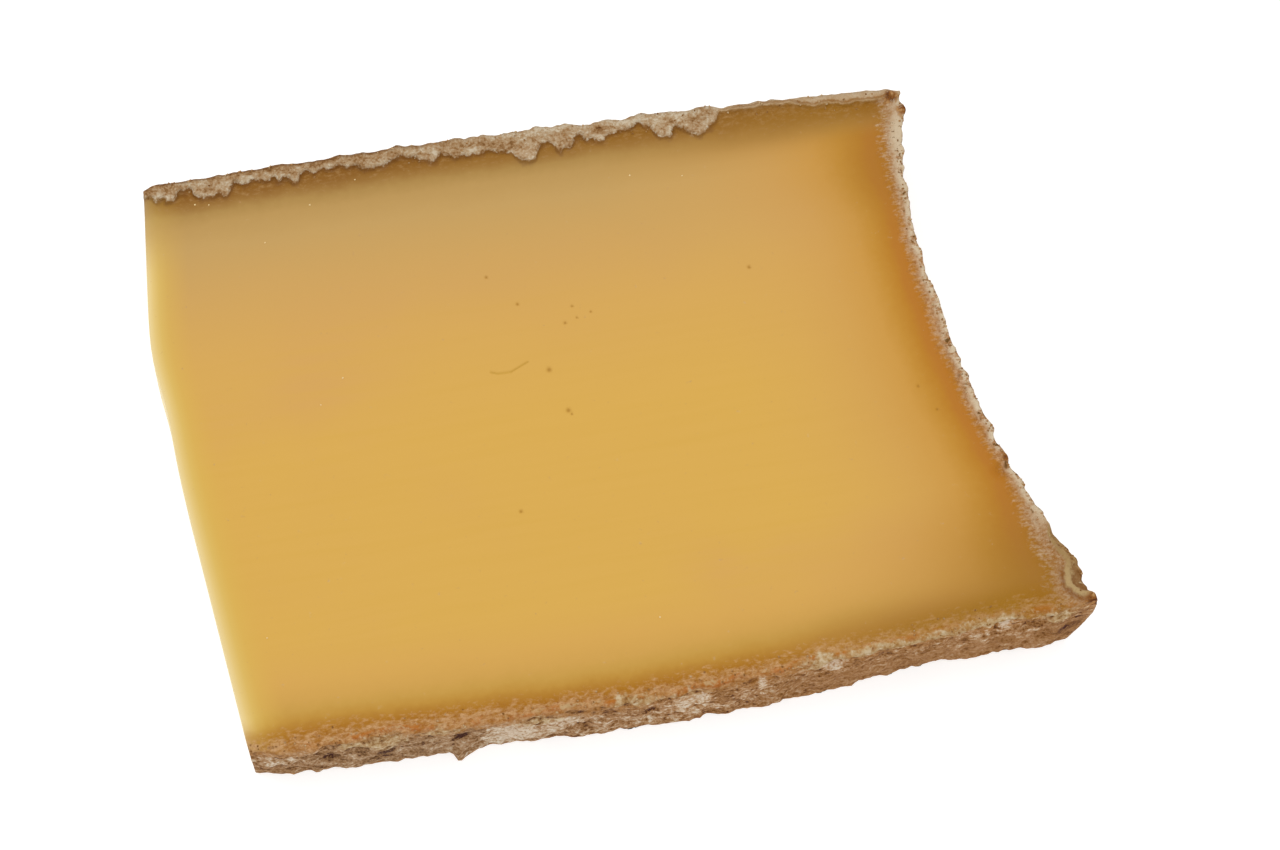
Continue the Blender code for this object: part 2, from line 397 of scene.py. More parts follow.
def smooth_step(start, end, value):
    """0 before start, 1 after end, and a smooth rise between them."""
    t = min(max((value - start) / (end - start), 0.0), 1.0)
    return t * t * (3.0 - 2.0 * t)


def bump(distance, radius):
    """A rounded bump of height 1 that has died away at about twice its radius."""
    return math.exp(-((distance / radius) ** 2))


def rough(place, size, layer, crags=0.0):
    """Smooth noise from about -1 to 1, with lumps of the given size."""
    x, y, z = place / size
    point = Vector((LUMP_STRETCH * x, LUMP_STRETCH * y, z + layer * LAYER_STEP + crags))
    return noise.fractal(point, ROUGH_FALL, ROUGH_STEP, ROUGH_OCTAVES)


def arc(t):
    return 4.0 * t * (1.0 - t)


def swell(t):
    return math.sin(math.pi * t) ** 2


def hollow(t):
    """An arc whose deepest place is at HOLLOW_AT."""
    return arc(t ** (math.log(0.5) / math.log(HOLLOW_AT)))


def kink(t):
    """Two straight stretches that meet in a soft corner at CUT_KINK_AT."""
    rising = math.exp(-t / CUT_KINK_AT / CUT_KINK_SOFTNESS)
    falling = math.exp(-(1.0 - t) / (1.0 - CUT_KINK_AT) / CUT_KINK_SOFTNESS)
    return -CUT_KINK_SOFTNESS * math.log(rising + falling)


def side(start, end, t, bow, shape):
    """The point at t on a side of the slice, which bows out of its chord by bow times shape(t)."""
    chord = end - start
    outward = Vector((chord.y, -chord.x)).normalized()
    return start.lerp(end, t) + outward * bow * shape(t)


def plan(u, v, w):
    """The place in plan of a point of the slice.

    u runs from the inner cut to the heel, v from front to back and w from the lower to the upper face.
    """
    corners = [low.lerp(high, w) for low, high in zip(LOWER_CORNERS, UPPER_CORNERS)]
    front_inner, front_heel, back_heel, back_inner = corners
    front = side(front_inner, front_heel, u, FRONT_SWELL, swell)
    back = side(back_heel, back_inner, 1.0 - u, BACK_BOW, arc)
    heel = side(front_heel, back_heel, v, -HEEL_HOLLOW, hollow)
    inner = side(back_inner, front_inner, 1.0 - v, CUT_KINK, kink)
    across = front.lerp(back, v) + inner.lerp(heel, u)
    return across - front_inner.lerp(front_heel, u).lerp(back_inner.lerp(back_heel, u), v)


def distance_to_line(place, line):
    """How far a place is from a line of points, and whether it is on the line's left."""
    nearest, left = math.inf, False
    for start, end in zip(line, line[1:]):
        run = end - start
        t = min(max((place.xy - start).dot(run) / run.length_squared, 0.0), 1.0)
        away = place.xy - start.lerp(end, t)
        if away.length < nearest:
            nearest = away.length
            left = run.cross(away) > 0.0
    return nearest, left


def soft_zones(place, zones):
    """The sum of soft round zones at this place."""
    total = 0.0
    for (x, y), (long, wide), strength in zones:
        away = math.hypot((place.x / MM - x) / long, (place.y / MM - y) / wide)
        total += strength * bump(away, 1.0)
    return total


def lumps_along(where, lumps):
    """How far the lumps of an edge reach out at this place along it."""
    total = 0.0
    for middle, radius, reach in lumps:
        total += reach * MM * bump(where - middle * MM, radius * MM)
    return total


def rind_lumps(place, layer, depth):
    """How far the outer face of a rind stands out at this place, at this depth under it."""
    lumps = LUMP_REACH * rough(place, LUMP_SIZE, layer)
    lumps += CRAG_REACH * rough(place, CRAG_SIZE, layer, LAYER_CRAGS)
    lumps *= smooth_step(LUMP_DEPTH, 0.0, depth)
    grit = GRIT_REACH * rough(place, GRIT_SIZE, GRIT_LAYER)
    return lumps + grit * smooth_step(GRIT_DEPTH, 0.0, depth)


def flap_reach(x):
    """How far the crust reaches over the cut face from the back edge."""
    smooth_back = smooth_step(SMOOTH_BACK_START, SMOOTH_BACK_FULL, x)
    plain = PLAIN_REACH + (SMOOTH_BACK_REACH - PLAIN_REACH) * smooth_back
    reach = plain
    for middle, half_length, longest in FLAPS:
        t = (x / MM - middle) / half_length
        if abs(t) < 1.0:
            reach = max(reach, plain + (longest * MM - plain) * (1.0 - t * t) ** FLAP_ROUNDNESS)
    return reach * (1.0 + FLAP_RAGGEDNESS * rough(Vector((x, 0.0, 0.0)), FLAP_RAG_SIZE, RAG_LAYER))


class Spot:
    """One point of the slice: its distances from the sides, its relief and what covers it."""

    def __init__(self, cell_place):
        length, width, height = NOMINAL_SIZE
        cell_place = self.rounded(cell_place)
        u, v, self.level = cell_place.x / length, cell_place.y / width, cell_place.z / height
        self.from_front, self.from_back = v * width, (1.0 - v) * width
        self.from_heel, self.from_cut = (1.0 - u) * length, u * length
        flat = plan(u, v, self.level)
        self.thickness = INNER_THICKNESS + (HEEL_THICKNESS - INNER_THICKNESS) * u
        self.place = Vector((flat.x, flat.y, self.level * self.thickness))
        self.slope = self.knob = self.hole = 0.0
        self.blush, self.grey = soft_zones(self.place, BLUSHES), soft_zones(self.place, GREY_SIDES)
        self.brown = min(soft_zones(self.place, BROWN_PLACES), 1.0)
        down_front = Vector((self.place.x, self.beyond_front()))
        self.crest, self.hollow = soft_zones(down_front, CRESTS), soft_zones(down_front, HOLLOWS)
        self.bloom = soft_zones(down_front, BLOOMS)
        relief = self.back_crust() + self.front_ridge() + self.rind_grain() + self.knobs()
        relief += self.fold() + self.holes() + WAVE_RISE * rough(self.place, WAVE_SIZE, WAVE_LAYER)
        outward = self.outward()
        self.outside = self.beyond_edge()
        self.far_patches()
        self.smooth_back = smooth_step(SMOOTH_BACK_START, SMOOTH_BACK_FULL, self.place.x)
        self.pale_back = smooth_step(BACK_PALE_START, BACK_PALE_FULL, self.place.x)
        widening = FRONT_BAND_WIDENING * smooth_step(WIDENING_START, WIDENING_FULL, self.place.x)
        self.front_band = self.from_front / (1.0 + widening)
        self.dry = max(
            smooth_step(DRY_FRONT, DRY_FULL, self.front_band),
            smooth_step(DRY_BACK, DRY_FULL, self.from_back),
            smooth_step(DRY_HEEL, DRY_FULL, self.heel_band),
        )
        self.place.z = self.level * (self.thickness + relief)
        self.place += outward - OFF_MIDDLE

    @staticmethod
    def rounded(cell_place):
        """Rounds the edges between the inner cut and the two faces that it meets."""
        x, y, z = cell_place
        radius, height = CUT_EDGE_RADIUS, NOMINAL_SIZE.z
        for level, middle in ((height, height - radius), (0.0, radius)):
            beyond = (z - middle) * (1.0 if level else -1.0)
            if x < radius and beyond > 0.0:
                away = Vector((x - radius, z - middle)).normalized() * radius
                return Vector((radius + away.x, y, middle + away.y))
        return Vector((x, y, z))

    def beyond_edge(self):
        """How far this point is round the edge onto a rind's outer face; below 0 on the cut faces."""
        to_rind = min(self.from_front, self.from_back, self.from_heel)
        if to_rind > ON_RIND:
            return -to_rind
        return min(1.0 - self.level, self.level) * self.thickness

    def beyond_front(self):
        """How far this point is down the front's outer face; below 0 elsewhere."""
        if self.from_front > ON_RIND:
            return -self.from_front
        return (1.0 - self.level) * self.thickness

    def far_patches(self):
        """Blooms and dark places on the outer faces of the back and the heel."""
        patches = rough(self.place, PATCH_SIZE, PATCH_LAYER)
        patches *= smooth_step(0.0, PATCH_MARGIN, min(self.outside, self.from_front))
        self.bloom += PATCH_BLOOM * smooth_step(*PATCH_EDGES, patches)
        self.hollow += PATCH_HOLLOW * smooth_step(*PATCH_EDGES, -patches)

    def back_crust(self):
        """The flaps of crust along the back edge."""
        reach = flap_reach(self.place.x)
        tatter = FLAP_TATTER * smooth_step(SMOOTH_BACK_FULL, SMOOTH_BACK_START, self.place.x)
        reach += max(tatter, SMOOTH_BACK_TATTER) * rough(self.place, FLAP_TATTER_SIZE, TATTER_LAYER)
        self.crust = reach - self.from_back
        cover = smooth_step(-FLAP_LIP, FLAP_LIP, self.crust)
        lumps = FLAP_MEAN + FLAP_LUMPINESS * rough(self.place, FLAP_LUMP_SIZE, FLAP_LAYER)
        return FLAP_RISE * cover * lumps

    def front_ridge(self):
        """The broken ridge along the front edge."""
        broken = RIDGE_MEAN + RIDGE_LUMPINESS * rough(self.place, RIDGE_LUMP_SIZE, RIDGE_LAYER)
        self.ridge = broken * bump(self.from_front - RIDGE_INSET, RIDGE_WIDTH)
        return RIDGE_RISE * self.ridge

    def rind_grain(self):
        """The grain of the cut rinds."""
        to_rind = min(self.from_front, self.from_back, self.from_heel)
        fuzz = FUZZ_RISE * rough(self.place, FUZZ_SIZE, FUZZ_LAYER)
        grain = HEEL_GRAIN_RISE * rough(self.place, HEEL_GRAIN_SIZE, GRAIN_LAYER)
        grain *= smooth_step(BAND_WIDTH, 0.0, self.from_heel)
        return grain + fuzz * smooth_step(BAND_WIDTH, 0.0, to_rind)

    def knobs(self):
        """The knobs, the curled tip and the notches."""
        rise = 0.0
        for middle, radius, height in KNOBS:
            near = bump((Vector(middle) * MM - self.place.xy).length, radius * MM)
            rise += height * MM * near
            if height > 0.0:
                self.knob = max(self.knob, near)
        return rise

    def fold(self):
        """The fold at the front corner of the heel, with the slope outside it."""
        nearest, outside = distance_to_line(self.place, FOLD_LINE)
        self.corner = there = smooth_step(FOLD_START, FOLD_FULL, self.place.y)
        self.tongue = smooth_step(FOLD_WIDE_START, FOLD_WIDE_FULL, self.place.y)
        self.lip = there * bump(nearest, FOLD_WIDTH * (1.0 + FOLD_WIDENING * self.tongue))
        inside = 0.0 if outside else nearest / FOLD_BAND_WIDENING
        self.heel_end = smooth_step(HEEL_WIDENING_START, HEEL_WIDENING_FULL, abs(self.place.y))
        self.heel_band = self.from_heel / (1.0 + HEEL_BAND_WIDENING * self.heel_end)
        self.heel_band += (inside - self.heel_band) * there
        rise = FOLD_RISE * self.lip
        if outside:
            self.slope = there * smooth_step(0.0, FOLD_WIDTH, nearest)
            rise -= FOLD_SLOPE * nearest * there * smooth_step(0.0, FOLD_MARGIN, self.from_front)
        return rise

    def holes(self):
        """The small holes and the hairline crack."""
        for middle, radius in HOLES:
            away = (Vector(middle) * MM - self.place.xy).length
            if away < HOLE_MARGIN * radius * MM:
                self.hole = max(self.hole, bump(away, radius * MM))
        self.crack = bump(distance_to_line(self.place, CRACK)[0], CRACK_WIDTH)
        return -HOLE_DEPTH * self.hole - CRACK_DEPTH * self.crack

    def outward(self):
        """How far the lumpy outer faces move this point."""
        from_tab = self.place.x - TAB_PLACE
        tab = TAB_REACH * bump(from_tab, TAB_LEFT_WIDTH if from_tab < 0.0 else TAB_RIGHT_WIDTH)
        on_front = smooth_step(LUMP_DEPTH, 0.0, self.from_front)
        tab *= bump(self.place.z - TAB_MIDDLE, TAB_HEIGHT) * on_front
        front = rind_lumps(self.place, FRONT_LAYER, self.from_front)
        back = rind_lumps(self.place, BACK_LAYER, self.from_back)
        heel = rind_lumps(self.place, HEEL_LAYER, self.from_heel)
        self.lump = (front + back + heel) / LUMP_REACH
        in_corner = smooth_step(CORNER_RADIUS, 0.0, self.from_heel)
        in_corner *= smooth_step(CORNER_RADIUS, 0.0, self.from_front)
        calm = 1.0 - CORNER_CALM * in_corner
        front_patches = (CREST_REACH * self.crest - HOLLOW_DEPTH * self.hollow) * on_front
        lumpy = bump(self.place.x - BACK_LUMPY_AT, BACK_LUMPY_LENGTH)
        corner = CORNER_BULGE * arc(self.level) - CORNER_LOSS * (1.0 - self.level) ** 2
        out = Vector((calm * heel + corner * in_corner, 0.0, 0.0))
        out.y = (BACK_LUMPS + (1.0 - BACK_LUMPS) * lumpy) * back - calm * front - tab - front_patches
        for middle, radius, move in ROUNDED_CORNERS:
            out.y += move * MM * bump((self.place.xy - Vector(middle) * MM).length, radius * MM)
        on_heel = smooth_step(LUMP_DEPTH, 0.0, self.from_heel) * self.level
        out.x += on_heel * lumps_along(self.place.y, HEEL_LUMPS)
        out.y -= on_front * (1.0 - self.level) * lumps_along(self.place.x, FRONT_FOOT_LUMPS)
        dent = CUT_DENT * bump(self.place.y - CUT_DENT_AT, CUT_DENT_LENGTH)
        out.x += dent * smooth_step(CUT_DENT_MARGIN, 0.0, self.from_cut)
        return out


# What each point of the mesh tells the material: the name of a value of its Spot, and the value's unit.
TOLD = (
    ("from_front", MM),
    ("front_band", MM),
    ("from_back", MM),
    ("heel_band", MM),
    ("heel_end", 1.0),
    ("from_cut", MM),
    ("crust", MM),
    ("outside", MM),
    ("smooth_back", 1.0),
    ("pale_back", 1.0),
    ("dry", 1.0),
    ("ridge", 1.0),
    ("lump", 1.0),
    ("corner", 1.0),
    ("tongue", 1.0),
    ("lip", 1.0),
    ("slope", 1.0),
    ("knob", 1.0),
    ("hole", 1.0),
    ("crack", 1.0),
    ("blush", 1.0),
    ("brown", 1.0),
    ("grey", 1.0),
    ("crest", 1.0),
    ("hollow", 1.0),
    ("bloom", 1.0),
)


def nominal_place(place):
    """The place in the nominal box that lies near a place on the upper face."""
    length, width, height = NOMINAL_SIZE
    u = v = 0.5
    for _ in range(PLACE_STEPS):
        error = place + OFF_MIDDLE.xy - plan(u, v, 1.0)
        u += error.x / length
        v += error.y / width
    return Vector((u * length, v * width, height))


def wanted_cell(place, fine_places):
    """The longest edge that the mesh may have at this place of the nominal box."""
    length, width, height = NOMINAL_SIZE
    to_rind = min(place.y, width - place.y, length - place.x)
    if place.z < LEVEL_MARGIN * height:
        cell = SIDE_CELL + CELL_GROWTH * to_rind
        return min(cell, UNDER_CELL, SIDE_CELL + CELL_GROWTH * place.x)
    if place.z < (1.0 - LEVEL_MARGIN) * height:
        if place.x < CUT_EDGE_RADIUS:
            return PASTE_CELL if 0.0 < place.y < width else FINE_CELL
        return FINE_CELL if place.y < 0.5 * width and place.x < length else SIDE_CELL
    cell = FINE_CELL + CELL_GROWTH * max(0.0, min(to_rind - FINE_BAND, place.x - CUT_EDGE_RADIUS))
    if cell > HOLE_CELL:
        for middle, radius in fine_places:
            away = max(0.0, (middle - place).length - radius)
            cell = min(cell, HOLE_CELL + CELL_GROWTH * away)
    return min(cell, PASTE_CELL)


def split_box():
    """A box with even cells, whose faces are then split until each edge is as short as wanted."""
    mesh = bmesh.new()
    bmesh.ops.create_cube(mesh, size=1.0)
    bmesh.ops.translate(mesh, verts=mesh.verts, vec=(0.5, 0.5, 0.5))
    bmesh.ops.scale(mesh, verts=mesh.verts, vec=NOMINAL_SIZE)
    for axis, count in enumerate(FIRST_CELLS):
        normal = Vector((0.0, 0.0, 0.0))
        normal[axis] = 1.0
        for i in range(1, count):
            parts = mesh.verts[:] + mesh.edges[:] + mesh.faces[:]
            place = normal * NOMINAL_SIZE[axis] * i / count
            bmesh.ops.bisect_plane(mesh, geom=parts, plane_co=place, plane_no=normal)
    fine_places = [(nominal_place(Vector(middle) * MM), radius * MM) for middle, radius in HOLES]
    for start, end in zip(CRACK, CRACK[1:]):
        for i in range(CRACK_STEPS + 1):
            fine_places.append((nominal_place(start.lerp(end, i / CRACK_STEPS)), CRACK_WIDTH))
    while True:
        long_edges = []
        for edge in mesh.edges:
            a, b = (vertex.co for vertex in edge.verts)
            if (a - b).length > wanted_cell((a + b) / 2.0, fine_places):
                long_edges.append(edge)
        if not long_edges:
            break
        bmesh.ops.subdivide_edges(mesh, edges=long_edges, cuts=1, use_grid_fill=True)
    return mesh


def cheese_body():
    """The whole slice as one fine mesh, with what the material needs to know at each point."""
    shape = split_box()
    spots = [Spot(vertex.co) for vertex in shape.verts]
    for vertex, spot in zip(shape.verts, spots):
        vertex.co = spot.place
    mesh = bpy.data.meshes.new("cheese_body")
    shape.to_mesh(mesh)
    shape.free()
    for name, unit in TOLD:
        values = np.array([getattr(spot, name) / unit for spot in spots], dtype=np.float32)
        mesh.attributes.new(name, "FLOAT", "POINT").data.foreach_set("value", values)
    mesh.shade_smooth()
    piece = bpy.data.objects.new("cheese_body", mesh)
    bpy.context.scene.collection.objects.link(piece)
    return piece


# Gloss. What the surface reflects of the white room adds SHEEN to every colour, so that much is taken
# off first.
SHINE = 0.25
SHEEN = 0.030
DARKEST = 0.004
MOIST_ROUGHNESS = 0.43
DRY_ROUGHNESS = 0.85
CRYSTAL_ROUGHNESS = 0.5
MOIST_BUMPS = 0.03
BUMP_REACH = 0.35 * MM

# Flecks start to show, and hide what is under them, at these values of their noise and density. They
# fade out where the density is less than FLECK_FADE.
FLECK_EDGES = 0.54, 0.96
FLECK_FADE = 0.15

# The outer faces are orange near their upper edges, from none to all between these heights. Their
# fibres are fainter towards the heel and low down.
ORANGE_HEIGHTS = 7.0 * MM, 12.0 * MM
ORANGE_SHARE = 0.5
CALM_PLACES = 20.0 * MM, 42.0 * MM
CALM_HEIGHTS = 15.0 * MM, 9.0 * MM
CALM_SHARE = 0.35

# How much of the heel's band still shows over the back's one, and of the inner cut's pale band of
# painted light over the rinds' ones.
HEEL_OVER_BACK = 0.2
CUT_OVER_RINDS = 0.3


def srgb(red, green, blue):
    """The base colour of a surface that shows on a screen as this colour, each part from 0 to 255."""
    linear = [((c / 255.0 + 0.055) / 1.055) ** 2.4 for c in (red, green, blue)]
    return tuple(max(c - SHEEN, DARKEST) for c in linear) + (1.0,)


class Graph:
    """The nodes of one material, with short names for the kinds used here."""

    def __init__(self, name):
        self.material = bpy.data.materials.new(name)
        self.material.use_nodes = True
        self.tree = self.material.node_tree
        self.shader = self.tree.nodes["Principled BSDF"]
        self.place = self.tree.nodes.new("ShaderNodeTexCoord").outputs["Object"]

    def give(self, made, inputs):
        """Gives inputs of a node each a value or a link."""
        for name, value in inputs.items():
            if isinstance(value, bpy.types.NodeSocket):
                self.tree.links.new(value, made.inputs[name])
            else:
                made.inputs[name].default_value = value

    def node(self, kind, inputs, **settings):
        """A new node, with its settings, and its inputs each given a value or a link."""
        made = self.tree.nodes.new(kind)
        for name, value in settings.items():
            setattr(made, name, value)
        self.give(made, inputs)
        return made

    def surface(self, inputs):
        """The material, once inputs of its shader each have a value or a link."""
        self.give(self.shader, inputs)
        return self.material

    def told(self, name):
        """What the mesh says under this name."""
        return self.node("ShaderNodeAttribute", {}, attribute_name=name).outputs["Fac"]

    def math(self, operation, a, b, clamped=False):
        settings = {"operation": operation, "use_clamp": clamped}
        return self.node("ShaderNodeMath", {0: a, 1: b}, **settings).outputs[0]

    def plus(self, a, b):
        return self.math("ADD", a, b)

    def minus(self, a, b):
        return self.math("SUBTRACT", a, b)

    def times(self, a, b):
        return self.math("MULTIPLY", a, b)

    def step(self, value, start, end):
        """0 before start, 1 after end, and a smooth rise between them."""
        inputs = {"Value": value, "From Min": start, "From Max": end}
        made = self.node("ShaderNodeMapRange", inputs, interpolation_type="SMOOTHSTEP")
        return made.outputs["Result"]

    def noise(self, size, shift, detail=2.0, roughness=0.5, distortion=0.0, stretch=(1.0, 1.0, 1.0)):
        """Noise from 0 to 1 with lumps of the given size in millimetres, and its own shift."""
        inputs = {0: self.place, 1: Vector(stretch) / (size * MM), 2: (shift, shift, shift)}
        scaled = self.node("ShaderNodeVectorMath", inputs, operation="MULTIPLY_ADD").outputs[0]
        return self.node("ShaderNodeTexNoise", {
            "Vector": scaled,
            "Scale": 1.0,
            "Detail": detail,
            "Roughness": roughness,
            "Distortion": distortion,
        }).outputs["Fac"]

    def mixed_in(self, value, other, share):
        """A value with a share of how far another one is from a half."""
        return self.plus(value, self.times(self.minus(other, 0.5), share))

    def ramp(self, value, stops, interpolation):
        """A node with the colours of the stops, each at its value."""
        made = self.node("ShaderNodeValToRGB", {"Fac": value})
        made.color_ramp.interpolation = interpolation
        elements = made.color_ramp.elements
        while len(elements) < len(stops):
            elements.new(0.5)
        for element, (where, shade) in zip(elements, stops):
            element.position = where
            element.color = shade
        return made

    def shades(self, value, stops):
        """The colours of the stops, each at its value, and smooth changes between them."""
        return self.ramp(value, stops, "EASE").outputs["Color"]

    def mix(self, factor, a, b):
        return self.node("ShaderNodeMix", {0: factor, 6: a, 7: b}, data_type="RGBA").outputs[2]

    def tinted(self, colour, tint, where, strength):
        """A colour with a share of a tint in it, where another value says so."""
        return self.mix(self.times(where, strength), colour, tint)

    def over(self, colour, distance, stops, strength=1.0):
        """Lays colours over another one. Each stop is a distance, a colour and how much it covers."""
        reach = stops[-1][0]
        share = self.math("DIVIDE", distance, reach, clamped=True)
        covers = [(where / reach, (*shade[:3], cover)) for where, shade, cover in stops]
        made = self.ramp(share, covers, "LINEAR")
        return self.mix(self.times(made.outputs["Alpha"], strength), colour, made.outputs["Color"])


def paste_colour(graph, front, back, heel, cut):
    """The cut paste: golden, with soft blushes, darker and browner towards the rinds, and painted paler
    towards the inner cut, where light shines through the thin edge.
    """
    uneven = graph.plus(graph.noise(30.0, 3.0), graph.told("blush"))
    colour = graph.mix(graph.step(uneven, 0.45, 1.25), srgb(216, 171, 86), srgb(211, 162, 96))
    streaks = graph.noise(1.8, 9.0, stretch=(0.05, 1.0, 1.0))
    colour = graph.mix(graph.step(streaks, 0.3, 1.1), colour, srgb(214, 169, 82))
    colour = graph.over(colour, back, (
        (2.0, srgb(142, 100, 56), 1.0),
        (4.5, srgb(144, 102, 54), 1.0),
        (6.0, srgb(155, 115, 62), 1.0),
        (8.0, srgb(174, 138, 80), 1.0),
        (10.5, srgb(186, 149, 90), 1.0),
        (16.0, srgb(194, 157, 98), 0.95),
        (27.0, srgb(202, 160, 97), 0.8),
        (42.0, srgb(209, 163, 95), 0.5),
        (66.0, srgb(212, 166, 92), 0.0),
    ))
    colour = graph.over(colour, front, (
        (0.0, srgb(170, 118, 66), 1.0),
        (2.0, srgb(168, 116, 58), 1.0),
        (3.5, srgb(172, 119, 50), 1.0),
        (5.0, srgb(180, 130, 56), 1.0),
        (6.2, srgb(190, 143, 65), 1.0),
        (8.0, srgb(198, 154, 76), 1.0),
        (10.5, srgb(205, 159, 83), 0.9),
        (15.0, srgb(211, 163, 88), 0.6),
        (24.0, srgb(214, 168, 88), 0.0),
    ))
    off_back = graph.step(back, 3.0, 11.0)
    colour = graph.over(colour, heel, (
        (0.0, srgb(182, 142, 102), 1.0),
        (1.5, srgb(180, 132, 84), 1.0),
        (2.6, srgb(181, 125, 62), 1.0),
        (3.8, srgb(182, 120, 46), 1.0),
        (5.2, srgb(183, 121, 42), 1.0),
        (7.0, srgb(187, 130, 48), 1.0),
        (10.0, srgb(195, 142, 62), 1.0),
        (14.0, srgb(203, 151, 75), 0.9),
        (22.0, srgb(206, 156, 85), 0.65),
        (34.0, srgb(209, 161, 90), 0.3),
        (50.0, srgb(211, 165, 92), 0.0),
    ), graph.math("MAXIMUM", off_back, HEEL_OVER_BACK))
    # Painted light: the paste turns pale near the inner cut, as where light shines through the thin
    # edge, and shows less over the rinds' bands.
    off_rinds = graph.times(graph.step(back, 3.0, 24.0), graph.step(front, 2.0, 9.0))
    return graph.over(colour, cut, (
        (0.0, srgb(236, 214, 160), 1.0),
        (1.5, srgb(226, 196, 124), 1.0),
        (3.0, srgb(219, 186, 102), 0.8),
        (5.0, srgb(216, 179, 89), 0.5),
        (10.0, srgb(215, 172, 82), 0.0),
    ), graph.math("MAXIMUM", off_rinds, CUT_OVER_RINDS))


def flecked(graph, colour, flecks, density, gain, fleck_colour):
    """Lays soft flecks over a colour, more of them where the density, from 0 to 1, is greater."""
    shown = graph.step(graph.plus(flecks, graph.times(density, gain)), *FLECK_EDGES)
    return graph.tinted(colour, fleck_colour, shown, graph.step(density, 0.0, FLECK_FADE))


def cut_rind_colour(graph, colour, front, back, heel, uneven):
    """The rinds where the knife went through them: brown, with a soft pale fuzz of torn fibres."""
    torn = {"detail": 4.0, "roughness": 0.68, "distortion": 0.2}
    fibres = graph.noise(0.8, 5.0, stretch=(0.55, 1.0, 1.0), **torn)
    hairs = graph.noise(0.7, 7.0, stretch=(0.5, 1.1, 1.0), **torn)
    pits = graph.noise(0.7, 8.0, detail=4.0, roughness=0.7)
    colour = flecked(graph, colour, fibres, graph.step(back, 8.5, 1.0), 0.16, srgb(176, 138, 92))
    colour = flecked(graph, colour, fibres, graph.step(front, 6.0, 1.0), 0.24, srgb(209, 168, 124))
    colour = flecked(graph, colour, pits, graph.step(front, 5.0, 0.0), 0.14, srgb(146, 90, 36))
    broken = graph.step(graph.noise(5.0, 27.0, detail=3.0), 0.46, 0.60)
    colour = graph.over(colour, front, (
        (0.1, srgb(158, 94, 40), 0.0),
        (0.6, srgb(166, 98, 40), 0.75),
        (1.1, srgb(184, 112, 42), 0.75),
        (1.8, srgb(184, 112, 42), 0.0),
    ), broken)
    hair_colour = graph.mix(graph.told("heel_end"), srgb(206, 170, 135), srgb(212, 187, 158))
    colour = flecked(graph, colour, hairs, graph.step(heel, 4.7, 0.6), 0.36, hair_colour)
    colour = flecked(graph, colour, pits, graph.step(heel, 5.0, 1.0), 0.24, srgb(160, 108, 62))
    rim = graph.times(graph.step(heel, 2.3, 0.5), graph.minus(1.0, graph.told("corner")))
    paleness = graph.plus(fibres, graph.times(graph.told("heel_end"), 0.12))
    pale = graph.step(graph.mixed_in(paleness, uneven, 1.2), 0.28, 0.58)
    colour = graph.tinted(colour, srgb(216, 197, 168), rim, pale)
    dark = graph.step(graph.mixed_in(pits, uneven, 0.8), 0.39, 0.29)
    return graph.tinted(colour, srgb(118, 88, 56), rim, dark)


def crust_colour(graph, crust, grain):
    """Dry crust: grey beige plates with paler torn rims, partly the crust's own paleness and partly
    painted highlight on their raised edges, over tan and the brown of its cracks.
    """
    ragged = {"detail": 6.0, "roughness": 0.72, "distortion": 0.4}
    plates = graph.mixed_in(graph.noise(2.4, 11.0, stretch=(0.7, 1.0, 1.0), **ragged), grain, 0.6)
    # Paler near each flap's torn edge: partly the crust's own colour, partly a painted highlight on the
    # raised edge.
    plates = graph.plus(plates, graph.times(graph.step(crust, 2.6, 0.5), 0.06))
    near_edge = graph.step(graph.told("from_back"), 1.8, 0.6)
    lighter = graph.minus(graph.times(graph.told("pale_back"), 0.16), 0.04)
    plates = graph.plus(plates, graph.times(near_edge, lighter))
    return graph.shades(plates, (
        (0.26, srgb(104, 72, 46)),
        (0.38, srgb(142, 106, 70)),
        (0.48, srgb(168, 134, 98)),
        (0.58, srgb(184, 158, 126)),
        (0.72, srgb(206, 190, 164)),
    ))


def back_edge_colour(graph, colour, crust, grain):
    """The back edge: ragged crust with painted shadow under its edge, and smoother rind beside it."""
    # Painted shadow: a dark brown band just in front of the crust's edge, where the flaps would shade
    # the paste, weaker along the smooth stretch.
    shadow = graph.minus(0.38, graph.times(graph.told("smooth_back"), 0.30))
    colour = graph.tinted(colour, srgb(108, 70, 38), graph.step(crust, -1.3, -0.1), shadow)
    dry_crust = crust_colour(graph, crust, grain)
    smooth = graph.over(dry_crust, graph.mixed_in(graph.told("crust"), grain, 0.7), (
        (0.0, srgb(184, 148, 102), 0.7),
        (0.15, srgb(200, 168, 124), 0.7),
        (0.35, srgb(158, 114, 68), 0.7),
        (0.6, srgb(156, 114, 70), 0.8),
        (0.9, srgb(186, 156, 120), 0.7),
        (2.0, srgb(196, 170, 138), 0.6),
    ))
    dry_crust = graph.mix(graph.told("smooth_back"), dry_crust, smooth)
    colour = graph.mix(graph.step(crust, -0.15, 0.25), colour, dry_crust)
    dark = graph.minus(0.55, graph.times(graph.told("pale_back"), 0.42))
    at_edge = graph.step(graph.told("from_back"), 0.75, 0.2)
    return graph.tinted(colour, srgb(112, 78, 54), at_edge, dark)


